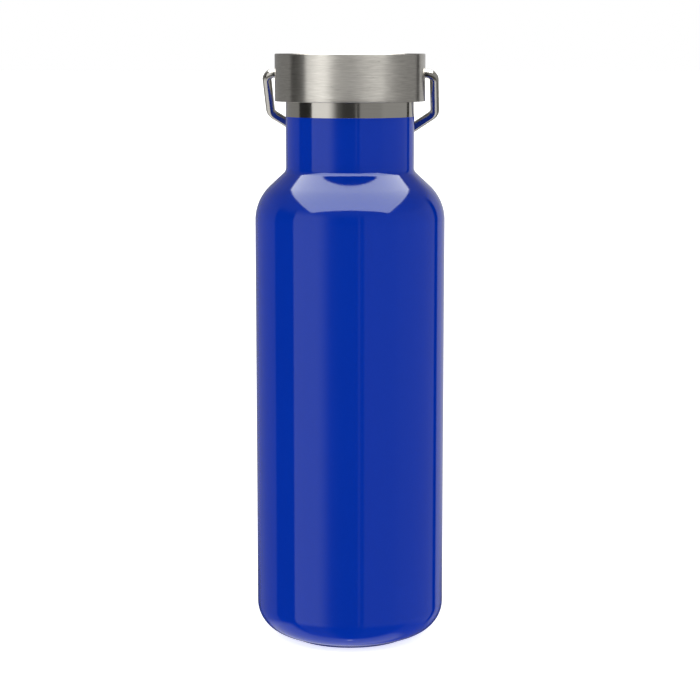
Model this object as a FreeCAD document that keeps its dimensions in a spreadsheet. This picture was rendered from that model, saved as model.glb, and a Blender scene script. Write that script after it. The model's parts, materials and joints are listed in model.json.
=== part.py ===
import FreeCAD, Part
import math
import os
import re

import Sketcher

# A drinking bottle: a double-wall steel flask, a screw lid and a wire carrying handle.
# Millimetres, +Z up, origin on the floor under the middle of the foot ring, handle leaning to +Y.

# ---------------------------------------------------------------------------------- driving sizes
SIZES = [
    # alias, value, what it is
    ("body_radius", 36.5, "outside of the body"),
    ("wall_top", 163.6, "height where the side turns into the shoulder"),
    ("steel", 0.4, "thickness of the steel sheet"),
    ("shoulder_bend", 18.0, "radius of the shoulder's convex bend"),
    ("shoulder_turn", 47.0, "angle of the shoulder's cone from upright, degrees"),
    ("shoulder_fillet", 2.7, "radius of the hollow between shoulder and neck"),
    ("neck_radius", 24.6, "outside of the neck"),
    ("neck_length", 33.8, "from the shoulder's hollow to the lip"),
    ("lip_round", 0.3, "rounding of the lip"),
    ("lip_flange", 0.8, "thickness of the lip where the two walls are welded"),
    ("base_bend", 11.8, "radius of the bend at the foot of the side"),
    ("base_turn", 66.6, "angle that this bend turns through, degrees"),
    ("foot_radius", 23.9, "outside of the flat foot ring"),
    ("foot_width", 1.6, "width of the flat foot ring"),
    ("recess_depth", 2.5, "depth of the hollow under the bottom"),
    ("dimple_radius", 4.0, "evacuation dimple"),
    ("dimple_depth", 1.5, "depth of the dimple above the recess"),
    ("vent_radius", 1.0, "evacuation vent"),
    ("bead_margin", 0.5, "from the glass solder bead to the dimple's wall"),
    ("cover_clearance", 0.3, "from the base cover to the foot ring and to the bead"),
    ("vacuum_gap", 2.5, "between the two side walls"),
    ("neck_gap", 1.2, "between the two neck walls"),
    ("getter_room", 1.8, "from the dimple to the getter's clip"),
    ("liner_bend", 8.0, "radius of the inner bottom's bend"),
    ("foil_gap", 0.1, "from the inner wall to the copper wrap"),
    ("foil", 0.1, "thickness of the copper wrap, with its air"),
    ("foil_margin", 2.0, "from the ends of the inner side wall to the wrap"),
    ("getter_radius", 4.0, "getter pellet"),
    ("getter_height", 2.4, "thickness of the getter pellet"),
    ("clip_sheet", 0.3, "thickness of the getter clip"),
    ("clip_width", 3.0, "width of the getter clip"),
    ("clip_foot", 2.5, "length of each welded foot of the clip"),
    ("thread_lead", 4.0, "rise of the lid in one turn"),
    ("thread_height", 1.1, "how far a thread ridge stands out"),
    ("thread_root", 1.6, "width of a ridge at its root"),
    ("thread_crest", 0.7, "width of a ridge at its crest"),
    ("thread_margin", 0.6, "from the plastic's lower edge to the start of the ridges"),
    ("thread_top", 0.8, "from the end of the ridges to the lip"),
    ("thread_clearance", 0.4, "radial play of the thread, at the crests"),
    ("thread_embed", 0.2, "how deep a ridge's root is sunk in its wall"),
    ("skirt_wall", 2.2, "wall of the plastic skirt behind its thread"),
    ("lid_height", 18.0, "height of the lid"),
    ("lid_over_lip", 9.5, "from the lip to the lid's top"),
    ("lid_round", 0.5, "rounding of the lid's top edge"),
    ("lid_seat", 0.05, "play between the steel cup and the plastic in it"),
    ("liner_inset", 0.5, "from the cup's lower rim to the plastic"),
    ("liner_crown", 0.6, "from the lid's top to the plastic"),
    ("plug_clearance", 1.0, "from the plug to the mouth"),
    ("plug_wall", 1.4, "thickness of the plug's wall"),
    ("plug_depth", 11.0, "from the lip down to the plug's open end"),
    ("cover_thickness", 1.5, "thickness of the plug cover"),
    ("spigot_height", 1.0, "spigot of the cover inside the plug"),
    ("gasket_height", 1.8, "thickness of the gasket"),
    ("gasket_play", 0.05, "play round the gasket and above the lip"),
    ("groove_wall", 0.5, "from the gasket's groove to a pivot bore's end"),
    ("wire_radius", 1.75, "handle wire"),
    ("bore_floor", 0.67, "plastic between a pivot bore and the thread's chamber"),
    ("pivot_play", 0.08, "radial play of the wire in its bores"),
    ("wire_end_play", 0.3, "from a wire end to the end of its bore"),
    ("arm_length", 21.8, "from the pivots to the arms' lower bends"),
    ("handle_room", 5.6, "between the swinging crossbar and the lid's lower rim"),
    ("handle_splay", 43.0, "angle between crossbar and diagonals, degrees"),
    ("pivot_bend", 3.35, "bend radius of the wire where it leaves the lid"),
    ("handle_bend", 5.0, "bend radius of the wire at its other corners"),
    ("handle_rest", 0.3, "from the resting crossbar to the neck"),
]

doc = FreeCAD.newDocument("bottle")
sheet = doc.addObject("Spreadsheet::Sheet", "Dims")
for row, (alias, value, meaning) in enumerate(SIZES, start=1):
    sheet.set(f"A{row}", alias)
    sheet.set(f"B{row}", str(value))
    sheet.set(f"C{row}", meaning)
    sheet.setAlias(f"B{row}", alias)
doc.recompute()
ALIASES = {alias for alias, value, meaning in SIZES}


def formula(text):
    """Turn names of sizes into references to their cells."""
    return re.sub(r"[a-z_]+", lambda m: f"Dims.{m[0]}" if m[0] in ALIASES else m[0], text)


def number(text):
    """Work a formula out now, for a first drawing or for a check."""
    return float(sheet.evalExpression(formula(text)))


# ------------------------------------------------------------------------------- shared places
BASE_CENTRE = "(body_radius - base_bend)"
BASE_SEAM = f"({BASE_CENTRE} + base_bend*cos(base_turn))"
SIDE_FOOT = f"(({BASE_SEAM} - foot_radius)/tan(base_turn) + base_bend*sin(base_turn))"
LINER_RADIUS = "(body_radius - steel - vacuum_gap)"
LINER_NECK = "(neck_radius - steel - neck_gap)"
DIMPLE_TOP = "(recess_depth + dimple_depth)"
LINER_BASE = f"({DIMPLE_TOP} + steel + getter_room + clip_sheet + getter_height)"
LINER_SEAM = f"({LINER_BASE} + liner_bend)"
MOUTH = f"({LINER_NECK} - steel)"


def shoulder(wall, bend, neck, fillet):
    """Corners of a shoulder from the side up to the neck: convex bend, cone, hollow fillet."""
    cone_low = f"({wall} - {bend}*(1 - cos(shoulder_turn)))"
    cone_low_up = f"(wall_top + {bend}*sin(shoulder_turn))"
    cone_high = f"({neck} + {fillet}*(1 - cos(shoulder_turn)))"
    cone_high_up = f"({cone_low_up} + ({cone_low} - {cone_high})/tan(shoulder_turn))"
    neck_foot = f"({cone_high_up} + {fillet}*sin(shoulder_turn))"
    return [(wall, "wall_top", bend, "left"),
            (cone_low, cone_low_up),
            (cone_high, cone_high_up, fillet, "right"),
            (neck, neck_foot)]


def downward(corners):
    """The same corners walked the other way, with each bend on the stretch it belongs to."""
    back = []
    for here, before in zip(corners[::-1], corners[-2::-1] + [()]):
        side = {"left": "right", "right": "left"}
        bend = (before[2], side[before[3]]) if len(before) == 4 else ()
        back.append(here[:2] + bend)
    return back


OUTER_SHOULDER = shoulder("body_radius", "shoulder_bend", "neck_radius", "shoulder_fillet")
NECK_FOOT = OUTER_SHOULDER[-1][1]
LIP = f"({NECK_FOOT} + neck_length)"
LID_TOP = f"({LIP} + lid_over_lip)"
LID_BOTTOM = f"({LID_TOP} - lid_height)"
THREAD_START = f"({LID_BOTTOM} + liner_inset + thread_margin + thread_root/2)"
THREAD_RISE = f"({LIP} - thread_top - thread_root/2 - {THREAD_START})"
PIVOT = f"({LIP} - thread_clearance + bore_floor + pivot_play + wire_radius)"
LID_CREST = "(neck_radius + thread_clearance)"
LID_BORE = "(neck_radius + thread_height + thread_clearance)"
LID_RADIUS = f"({LID_BORE} + skirt_wall + lid_seat + steel)"
GROOVE_RADIUS = "(neck_radius + thread_clearance)"
GROOVE_TOP = f"({LIP} + gasket_height + 2*gasket_play)"
PLUG_RADIUS = f"({MOUTH} - plug_clearance)"
PLUG_END = f"({LIP} - plug_depth)"
BORE_END = f"({GROOVE_RADIUS} + groove_wall)"
ARM = f"({LID_RADIUS} + pivot_bend)"
REACH = f"(sqrt({LID_RADIUS}^2 + ({PIVOT} - {LID_BOTTOM})^2) + wire_radius + handle_room)"


# --------------------------------------------------------------------------- drawing and turning
def origin_plane(body, role):
    """One of a body's own origin planes."""
    return next(feature for feature in body.Origin.OriginFeatures if feature.Role == role)


def new_body(label):
    """An empty body for one piece of the bottle."""
    body = doc.addObject("PartDesign::Body", label)
    body.Label = label
    return body


def new_sketch(body, name, role="XZ_Plane"):
    """An empty sketch on one of the body's origin planes."""
    sketch = body.newObject("Sketcher::SketchObject", name)
    sketch.AttachmentSupport = [(origin_plane(body, role), "")]
    sketch.MapMode = "FlatFace"
    return sketch


def pin(sketch, edge, end, across, up, side=1):
    """Tie one end of an edge to two formulas, measured from the sketch's origin."""
    for kind, text, axis in (("DistanceX", across, -2), ("DistanceY", up, -1)):
        if text == "0":
            sketch.addConstraint(Sketcher.Constraint("PointOnObject", edge, end, axis))
            continue
        ends = (-1, 1, edge, end)
        if kind == "DistanceX" and side < 0:
            ends = (edge, end, -1, 1)
        index = sketch.addConstraint(Sketcher.Constraint(kind, *ends, abs(number(text))))
        sketch.setExpression(f"Constraints[{index}]", formula(text))


def arc_between(start, end, radius, side):
    """An arc of less than half a circle whose centre lies to the left or right of the way there."""
    chord = end - start
    middle = (start + end)*0.5
    height = math.sqrt(radius**2 - (chord.Length/2)**2)
    turn = 1 if side == "left" else -1
    centre = middle + FreeCAD.Vector(-chord.y, chord.x, 0).normalize()*height*turn
    first, last = (start, end) if turn > 0 else (end, start)
    angles = [math.atan2(p.y - centre.y, p.x - centre.x) for p in (first, last)]
    circle = Part.Circle(centre, FreeCAD.Vector(0, 0, 1), radius)
    return Part.ArcOfCircle(circle, *angles), turn > 0


def outline(sketch, corners, closed=True, side=1):
    """Draw lines and arcs through corners, each tied to its formulas.

    A corner is (across, up), or (across, up, radius, "left" or "right") where an arc leaves it.
    """
    points = [FreeCAD.Vector(side*number(c[0]), number(c[1]), 0) for c in corners]
    count = len(corners) if closed else len(corners) - 1
    ends = []
    for i in range(count):
        corner, start, end = corners[i], points[i], points[(i + 1) % len(points)]
        if len(corner) == 4:
            arc, forward = arc_between(start, end, number(corner[2]), corner[3])
            edge = sketch.addGeometry(arc)
            ends.append((edge, 1, 2) if forward else (edge, 2, 1))
        else:
            edge = sketch.addGeometry(Part.LineSegment(start, end))
            ends.append((edge, 1, 2))
    for i, (edge, start, end) in enumerate(ends):
        if closed or i + 1 < count:
            after = ends[(i + 1) % count]
            sketch.addConstraint(Sketcher.Constraint("Coincident", edge, end, after[0], after[1]))
        pin(sketch, edge, start, corners[i][0], corners[i][1], side)
        if len(corners[i]) == 4:
            bend = Sketcher.Constraint("Radius", edge, number(corners[i][2]))
            index = sketch.addConstraint(bend)
            sketch.setExpression(f"Constraints[{index}]", formula(corners[i][2]))
    if not closed:
        pin(sketch, ends[-1][0], ends[-1][2], corners[-1][0], corners[-1][1], side)


def turned(label, corners):
    """A piece that is round about the bottle's axis, from the outline of its half section."""
    body = new_body(label)
    sketch = new_sketch(body, f"{label}_section")
    outline(sketch, corners)
    doc.recompute()
    solid = body.newObject("PartDesign::Revolution", f"{label}_turned")
    solid.Profile = sketch
    solid.ReferenceAxis = (sketch, ["V_Axis"])
    solid.Angle = 360
    sketch.Visibility = False
    doc.recompute()
    return body


def ring(inner, outer, low, high):
    """The outline of a plain ring, or of a disc where inner is 0."""
    return [(inner, low), (outer, low), (outer, high), (inner, high)]


def mirror(body, feature, name):
    """Repeat a feature on the other side of the YZ plane."""
    copy = body.newObject("PartDesign::Mirrored", name)
    copy.Originals = [feature]
    copy.MirrorPlane = (origin_plane(body, "YZ_Plane"), [""])
    body.Tip = copy
    doc.recompute()


def add_thread(body, root, crest, side):
    """A helical ridge that starts on the +X side, or on the -X side where side is -1."""
    sketch = new_sketch(body, f"{body.Label}_ridge")
    half_root, half_crest = "thread_root/2", "thread_crest/2"
    outline(sketch, [(root, f"{THREAD_START} - {half_root}"),
                     (crest, f"{THREAD_START} - {half_crest}"),
                     (crest, f"{THREAD_START} + {half_crest}"),
                     (root, f"{THREAD_START} + {half_root}")], side=side)
    doc.recompute()
    ridge = body.newObject("PartDesign::AdditiveHelix", f"{body.Label}_thread")
    ridge.Profile = sketch
    ridge.ReferenceAxis = (sketch, ["V_Axis"])
    ridge.Mode = "pitch-height-angle"
    ridge.Angle = 0
    ridge.setExpression("Pitch", formula("thread_lead"))
    ridge.setExpression("Height", formula(THREAD_RISE))
    sketch.Visibility = False
    doc.recompute()


def drill_pivots(body, start):
    """Bore two holes for the wire along X, from the start outwards on both sides."""
    before = body.Shape.Volume
    sketch = new_sketch(body, f"{body.Label}_bore", "YZ_Plane")
    sketch.setExpression("AttachmentOffset.Base.z", formula(start))
    circle = sketch.addGeometry(Part.Circle(FreeCAD.Vector(0, number(PIVOT), 0),
                                            FreeCAD.Vector(0, 0, 1),
                                            number("wire_radius + pivot_play")))
    pin(sketch, circle, 3, "0", PIVOT)
    index = sketch.addConstraint(Sketcher.Constraint("Radius", circle, 1.0))
    sketch.setExpression(f"Constraints[{index}]", formula("wire_radius + pivot_play"))
    doc.recompute()
    bore = body.newObject("PartDesign::Pocket", f"{body.Label}_pivot_bore")
    bore.Profile = sketch
    bore.Reversed = True
    bore.setExpression("Length", formula(LID_RADIUS))
    sketch.Visibility = False
    doc.recompute()
    mirror(body, bore, f"{body.Label}_pivot_bores")
    if not body.Shape.Volume < before:
        raise RuntimeError(f"{body.Label}: the pivot bores cut nothing")


# -------------------------------------------------------------------------------------- flask
def build_outer_shell():
    """The painted outer wall: base bend, side, shoulder, neck and neck thread."""
    inner_shoulder = shoulder("(body_radius - steel)", "(shoulder_bend - steel)",
                              "(neck_radius - steel)", "(shoulder_fillet + steel)")
    seam_inside = f"({BASE_CENTRE} + (base_bend - steel)*cos(base_turn))"
    seam_inside_up = f"({SIDE_FOOT} - (base_bend - steel)*sin(base_turn))"
    outside = [(BASE_SEAM, f"{SIDE_FOOT} - base_bend*sin(base_turn)", "base_bend", "left"),
               ("body_radius", SIDE_FOOT)] + OUTER_SHOULDER
    lip = [("neck_radius", f"{LIP} - lip_round", "lip_round", "left"),
           ("neck_radius - lip_round", LIP),
           ("neck_radius - steel", LIP)]
    inside = downward(inner_shoulder) + [
        ("body_radius - steel", SIDE_FOOT, "base_bend - steel", "right"),
        (seam_inside, seam_inside_up)]
    body = turned("outer_shell", outside + lip + inside)
    add_thread(body, "neck_radius - thread_embed", "neck_radius + thread_height", side=1)


def build_outer_bottom():
    """The pressed bottom: slope, flat foot ring, recess, evacuation dimple and vent."""
    foot_inside = "(foot_radius - foot_width)"
    recess_roof = "(recess_depth + steel)"
    bead_radius = "dimple_radius - bead_margin"
    seam_inside = f"({BASE_CENTRE} + (base_bend - steel)*cos(base_turn))"
    seam_inside_up = f"({SIDE_FOOT} - (base_bend - steel)*sin(base_turn))"
    turned("outer_bottom", [
        (BASE_SEAM, f"{SIDE_FOOT} - base_bend*sin(base_turn)"),
        (seam_inside, seam_inside_up),
        (f"{seam_inside} - ({seam_inside_up} - steel)*tan(base_turn)", "steel"),
        (f"{foot_inside} + steel", "steel"),
        (f"{foot_inside} + steel", recess_roof),
        ("dimple_radius + steel", recess_roof),
        ("dimple_radius + steel", f"{DIMPLE_TOP} + steel"),
        ("vent_radius", f"{DIMPLE_TOP} + steel"),
        ("vent_radius", DIMPLE_TOP),
        ("dimple_radius", DIMPLE_TOP),
        ("dimple_radius", "recess_depth"),
        (foot_inside, "recess_depth"),
        (foot_inside, "0"),
        ("foot_radius", "0")])
    turned("base_cover", ring("0", "foot_radius - foot_width - cover_clearance",
                              "recess_depth - steel", "recess_depth"))
    turned("seal_bead", [("0", "recess_depth + cover_clearance"),
                         (bead_radius, "recess_depth + cover_clearance"),
                         (bead_radius, DIMPLE_TOP),
                         ("vent_radius", DIMPLE_TOP),
                         ("vent_radius", f"{DIMPLE_TOP} + steel"),
                         ("0", f"{DIMPLE_TOP} + steel")])


def build_liner():
    """The inner wall with the drinking lip, its bottom, and the copper wrap round it."""
    outer = shoulder(LINER_RADIUS, "(shoulder_bend - steel - vacuum_gap)",
                     LINER_NECK, "(shoulder_fillet + steel + neck_gap)")
    inner = shoulder(f"({LINER_RADIUS} - steel)", "(shoulder_bend - 2*steel - vacuum_gap)",
                     MOUTH, "(shoulder_fillet + 2*steel + neck_gap)")
    lip = [(LINER_NECK, f"{LIP} - lip_flange"),
           ("neck_radius - steel", f"{LIP} - lip_flange"),
           ("neck_radius - steel", LIP),
           (f"{MOUTH} + lip_round", LIP, "lip_round", "left"),
           (MOUTH, f"{LIP} - lip_round")]
    turned("liner_wall", [(LINER_RADIUS, LINER_SEAM)] + outer + lip + downward(inner)
           + [(f"{LINER_RADIUS} - steel", LINER_SEAM)])
    bend_centre = f"{LINER_RADIUS} - liner_bend"
    turned("liner_bottom", [
        ("0", LINER_BASE),
        (bend_centre, LINER_BASE, "liner_bend", "left"),
        (LINER_RADIUS, LINER_SEAM),
        (f"{LINER_RADIUS} - steel", LINER_SEAM, "liner_bend - steel", "right"),
        (bend_centre, f"{LINER_BASE} + steel"),
        ("0", f"{LINER_BASE} + steel")])
    turned("copper_foil", ring(f"{LINER_RADIUS} + foil_gap", f"{LINER_RADIUS} + foil_gap + foil",
                               f"{LINER_SEAM} + foil_margin", "wall_top - foil_margin"))


def build_getter():
    """The getter pellet under the inner bottom, and the strip that holds it there."""
    floor = f"({LINER_BASE} - getter_height)"
    turned("getter", ring("0", "getter_radius", floor, LINER_BASE))
    body = new_body("getter_clip")
    sketch = new_sketch(body, "getter_clip_section")
    leg = "(getter_radius + foil_gap)"
    outline(sketch, [("0", f"{floor} - clip_sheet"),
                     (f"{leg} + clip_sheet", f"{floor} - clip_sheet"),
                     (f"{leg} + clip_sheet", f"{LINER_BASE} - clip_sheet"),
                     (f"{leg} + clip_sheet + clip_foot", f"{LINER_BASE} - clip_sheet"),
                     (f"{leg} + clip_sheet + clip_foot", LINER_BASE),
                     (leg, LINER_BASE),
                     (leg, floor),
                     ("0", floor)])
    doc.recompute()
    strip = body.newObject("PartDesign::Pad", "getter_clip_half")
    strip.Profile = sketch
    strip.Midplane = True
    strip.setExpression("Length", formula("clip_width"))
    sketch.Visibility = False
    doc.recompute()
    mirror(body, strip, "getter_clip_whole")


# ---------------------------------------------------------------------------------------- lid
def build_lid_shell():
    """The brushed steel cup, with a hole on each side for the handle's wire."""
    inner_round = "(lid_round - steel)"
    inside = f"({LID_RADIUS} - steel)"
    body = turned("lid_shell", [
        (LID_RADIUS, LID_BOTTOM),
        (LID_RADIUS, f"{LID_TOP} - lid_round", "lid_round", "left"),
        (f"{LID_RADIUS} - lid_round", LID_TOP),
        ("0", LID_TOP),
        ("0", f"{LID_TOP} - steel"),
        (f"{inside} - {inner_round}", f"{LID_TOP} - steel", inner_round, "right"),
        (inside, f"{LID_TOP} - lid_round"),
        (inside, LID_BOTTOM)])
    drill_pivots(body, f"{LID_RADIUS} - 2*steel")


def build_lid_liner():
    """The plastic screw body: threaded skirt, gasket groove, plug wall and pivot bores."""
    skirt = f"({LID_BORE} + skirt_wall)"
    plug_inside = f"({PLUG_RADIUS} - plug_wall)"
    crown = f"({LID_TOP} - liner_crown)"
    thread_roof = f"({LIP} - thread_clearance)"
    body = turned("lid_liner", [
        (skirt, f"{LID_BOTTOM} + liner_inset"),
        (skirt, f"{crown} - liner_crown"),
        (f"{skirt} - liner_crown", crown),
        (plug_inside, crown),
        (plug_inside, PLUG_END),
        (PLUG_RADIUS, PLUG_END),
        (PLUG_RADIUS, GROOVE_TOP),
        (GROOVE_RADIUS, GROOVE_TOP),
        (GROOVE_RADIUS, thread_roof),
        (LID_BORE, thread_roof),
        (LID_BORE, f"{LID_BOTTOM} + liner_inset")])
    drill_pivots(body, BORE_END)
    add_thread(body, f"{LID_BORE} + thread_embed", LID_CREST, side=-1)


def build_lid_filling():
    """The foam in the plug, the disc that closes it, and the ring that seals on the lip."""
    foam_radius = f"({PLUG_RADIUS} - plug_wall - lid_seat)"
    turned("lid_insulation", ring("0", foam_radius, f"{PLUG_END} + spigot_height + lid_seat",
                                  f"{LID_TOP} - liner_crown"))
    turned("plug_cover", [("0", f"{PLUG_END} - cover_thickness"),
                          (PLUG_RADIUS, f"{PLUG_END} - cover_thickness"),
                          (PLUG_RADIUS, PLUG_END),
                          (foam_radius, PLUG_END),
                          (foam_radius, f"{PLUG_END} + spigot_height"),
                          ("0", f"{PLUG_END} + spigot_height")])
    turned("lid_gasket", ring(f"{PLUG_RADIUS} + gasket_play", f"{GROOVE_RADIUS} - gasket_play",
                              f"{LIP} + gasket_play", f"{LIP} + gasket_play + gasket_height"))


# ------------------------------------------------------------------------------------- handle
def build_handle():
    """One bent wire, drawn with its pivots on the X axis and its crossbar up, then laid back."""
    body = new_body("handle")
    low_turn = "tan((90 - handle_splay)/2)*handle_bend"
    bar_turn = "tan(handle_splay/2)*handle_bend"
    bar_corner = f"({ARM} - ({REACH} - arm_length)/tan(handle_splay))"
    path = new_sketch(body, "handle_path")
    outline(path, [
        (f"{BORE_END} + wire_end_play", "0"),
        (LID_RADIUS, "0", "pivot_bend", "left"),
        (ARM, "pivot_bend"),
        (ARM, f"arm_length - {low_turn}", "handle_bend", "left"),
        (f"{ARM} - {low_turn}*cos(handle_splay)",
         f"arm_length + {low_turn}*sin(handle_splay)"),
        (f"{bar_corner} + {bar_turn}*cos(handle_splay)",
         f"{REACH} - {bar_turn}*sin(handle_splay)", "handle_bend", "left"),
        (f"{bar_corner} - {bar_turn}", REACH),
        ("0", REACH)], closed=False)
    section = new_sketch(body, "handle_section", "YZ_Plane")
    section.setExpression("AttachmentOffset.Base.z", formula(f"{BORE_END} + wire_end_play"))
    circle = section.addGeometry(Part.Circle(FreeCAD.Vector(0, 0, 0), FreeCAD.Vector(0, 0, 1),
                                             number("wire_radius")))
    section.addConstraint(Sketcher.Constraint("Coincident", circle, 3, -1, 1))
    index = section.addConstraint(Sketcher.Constraint("Radius", circle, number("wire_radius")))
    section.setExpression(f"Constraints[{index}]", formula("wire_radius"))
    doc.recompute()
    wire = body.newObject("PartDesign::AdditivePipe", "handle_half")
    wire.Profile = section
    wire.Spine = path
    path.Visibility = False
    section.Visibility = False
    doc.recompute()
    mirror(body, wire, "handle_whole")
    lean = f"asin((neck_radius + wire_radius + handle_rest)/{REACH})"
    body.Placement = FreeCAD.Placement(FreeCAD.Vector(0, 0, number(PIVOT)),
                                       FreeCAD.Rotation(FreeCAD.Vector(1, 0, 0), 180))
    body.setExpression("Placement.Base.z", formula(PIVOT))
    body.setExpression("Placement.Rotation.Angle", formula(f"180 deg + {lean}"))
    doc.recompute()
    print("handle leans back", round(number(lean), 2), "degrees, pivots at", round(number(PIVOT), 2))


# --------------------------------------------------------------------------- check and write
build_outer_shell()
build_outer_bottom()
build_liner()
build_getter()
build_lid_shell()
build_lid_liner()
build_lid_filling()
build_handle()
doc.recompute()

for item in doc.Objects:
    if {"Invalid", "Error"} & set(item.State):
        raise RuntimeError(f"{item.Label}: {item.State}")

pieces = [item for item in doc.Objects if item.TypeId == "PartDesign::Body"]
for piece in pieces:
    if piece.Shape.isNull() or not piece.Shape.isValid() or len(piece.Shape.Solids) != 1:
        raise RuntimeError(f"{piece.Label}: the shape is null, not valid or not one solid")

os.makedirs("parts", exist_ok=True)
for piece in pieces:
    piece.Shape.exportStep(f"parts/{piece.Label}.step")
    box = piece.Shape.BoundBox
    print(f"{piece.Label:15s} {piece.Shape.Volume:10.1f} mm3   z {box.ZMin:7.2f} to {box.ZMax:7.2f}"
          f"   x to {box.XMax:6.2f}   y to {box.YMax:6.2f}")
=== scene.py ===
# %% [markdown]
# # A steel drinking bottle with a screw lid and a wire handle
# The bottle's frame comes from its CAD model. What the frame can give, such as how far a node reaches or
# where a joint sits, is read from it, so the surfaces made here lie where the solids do. Lengths are in
# metres.

# %% Load the frame
import json
import math

import bmesh
import bpy
import numpy as np
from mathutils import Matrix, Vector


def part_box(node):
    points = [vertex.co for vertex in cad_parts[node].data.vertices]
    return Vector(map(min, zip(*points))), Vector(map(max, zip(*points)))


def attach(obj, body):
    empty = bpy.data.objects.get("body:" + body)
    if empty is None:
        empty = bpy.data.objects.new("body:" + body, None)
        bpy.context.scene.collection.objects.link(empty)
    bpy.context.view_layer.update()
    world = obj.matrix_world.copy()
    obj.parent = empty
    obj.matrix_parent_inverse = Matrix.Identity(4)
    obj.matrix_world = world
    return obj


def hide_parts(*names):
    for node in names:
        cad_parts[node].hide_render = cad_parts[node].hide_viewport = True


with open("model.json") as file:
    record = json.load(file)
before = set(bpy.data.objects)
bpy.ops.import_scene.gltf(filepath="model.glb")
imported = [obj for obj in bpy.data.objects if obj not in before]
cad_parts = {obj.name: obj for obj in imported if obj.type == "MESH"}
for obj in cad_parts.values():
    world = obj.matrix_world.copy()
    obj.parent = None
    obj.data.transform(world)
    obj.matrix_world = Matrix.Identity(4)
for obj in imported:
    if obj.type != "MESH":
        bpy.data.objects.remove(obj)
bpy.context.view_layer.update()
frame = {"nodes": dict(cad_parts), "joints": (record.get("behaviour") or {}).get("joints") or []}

print("nodes:", ", ".join(sorted(frame["nodes"])))

# %% [markdown]
# A bottle is turned, spun and rolled, so nearly all of it is round about one axis. A few radii and heights
# are enough to place every piece. They are read off the solids' boxes and the joints.

# %% Read the driving sizes
MM = 0.001


def reach(node):
    """How far a node reaches from the bottle's axis."""
    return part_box(node)[1].x


def span(node):
    """The lowest and highest height of a node."""
    low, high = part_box(node)
    return low.z, high.z


joints = {joint["name"]: joint for joint in frame["joints"]}
BODY_RADIUS = reach("outer_shell")
LIP = span("outer_shell")[1]
LID_RADIUS = reach("lid_shell")
LID_BOTTOM, LID_TOP = span("lid_shell")
PIVOT = joints["handle_swing"]["pos_m"][2]
LEAD = joints["lid_lift"]["range_m"][1]/(joints["lid_turn"]["range_deg"][1]/360)
DISC_LOW, DISC_HIGH = span("base_cover")
STEEL = DISC_HIGH - DISC_LOW
LINER_RADIUS = reach("liner_bottom")
LINER_BASE, LINER_BEND_TOP = span("liner_bottom")
PLUG_RADIUS = reach("plug_cover")
print(f"body {BODY_RADIUS/MM:.1f}, lid {LID_RADIUS/MM:.2f}, lip {LIP/MM:.1f}, pivots {PIVOT/MM:.1f} mm")

# %% [markdown]
# A box can't show where a bend starts or how wide a ridge is. Those sizes are the CAD model's too. The
# ones that several pieces share are written down here, first the walls' and then the thread's.

# %% Bends, clearances and edges
NECK_RADIUS = 24.6*MM
SHOULDER_FOOT = 163.6*MM
SHOULDER_BEND = 18*MM
SHOULDER_TURN = math.radians(47)
SHOULDER_FILLET = 2.7*MM
SIDE_FOOT = 14*MM
BASE_BEND = 11.8*MM
BASE_TURN = math.radians(66.6)
FOOT_RADIUS = 23.9*MM
FOOT_WIDTH = 1.6*MM
FOOT_ROUND = 0.5*MM
RECESS = 2.5*MM
DIMPLE_RADIUS = 4*MM
DIMPLE_TOP = 4*MM
VENT_RADIUS = 1*MM
LIP_ROUND = 0.3*MM
PAINT = 0.08*MM
BARE_BAND = 5.8*MM
PAINT_TOP = LID_BOTTOM - BARE_BAND
BAND_RADIUS = NECK_RADIUS - PAINT
NECK_GAP = 1.2*MM
MOUTH = NECK_RADIUS - NECK_GAP - 2*STEEL
print(f"paint ends at {PAINT_TOP/MM:.1f} mm, and the mouth is {2*MOUTH/MM:.1f} mm wide")

# %% The thread's sizes
THREAD_HEIGHT = 1.1*MM
THREAD_ROOT = 1.6*MM
THREAD_CREST = 0.7*MM
THREAD_START = LID_BOTTOM + 1.9*MM
THREAD_RISE = 5*MM
THREAD_TURNS = THREAD_RISE/LEAD
THREAD_FADE = 0.1
THREAD_PLAY = 0.4*MM
print(f"thread lead {LEAD/MM:.2f} mm, and each ridge runs {THREAD_TURNS:.2f} turns")

# %% [markdown]
# ## Turning a profile
# A lathe, or a spinning mandrel, gives a surface of revolution: take a line in the plane of radius and
# height, and carry it round the axis. The line is built from straight stretches and circular bends. All
# points are worked out at once as numpy arrays, and the faces are index arithmetic on the same grid.

# %% Straight stretches and bends
SAME_POINT = 1e-7


def stretch(start, end, steps=1):
    """Points on a straight line: start + t*(end - start), with t from 0 to 1."""
    t = np.linspace(0, 1, steps + 1)[:, None]
    return np.array(start) + t*(np.array(end) - np.array(start))


def bend(centre, radius, first, last, steps=24):
    """Points on an arc: centre + radius*(cos a, sin a), with a from first to last, in radians."""
    a = np.linspace(first, last, steps + 1)
    return np.array(centre) + radius*np.column_stack([np.cos(a), np.sin(a)])


def joined(*runs):
    """Runs end to end, without the points that they repeat where they meet."""
    points = np.vstack(runs)
    step = np.linalg.norm(np.diff(points, axis=0), axis=1)
    return points[np.concatenate([[True], step > SAME_POINT])]


# %% Measures of a line, and its other face
STRAIGHT = 1e-6


def directions(points):
    """The unit vector of each run: the step to the next point, over its length."""
    run = np.diff(points, axis=0)
    return run/np.linalg.norm(run, axis=1)[:, None]


def travelled(points):
    """How far along the line each point is: the sum of the steps before it."""
    return np.concatenate([[0], np.cumsum(np.linalg.norm(np.diff(points, axis=0), axis=1))])


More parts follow.
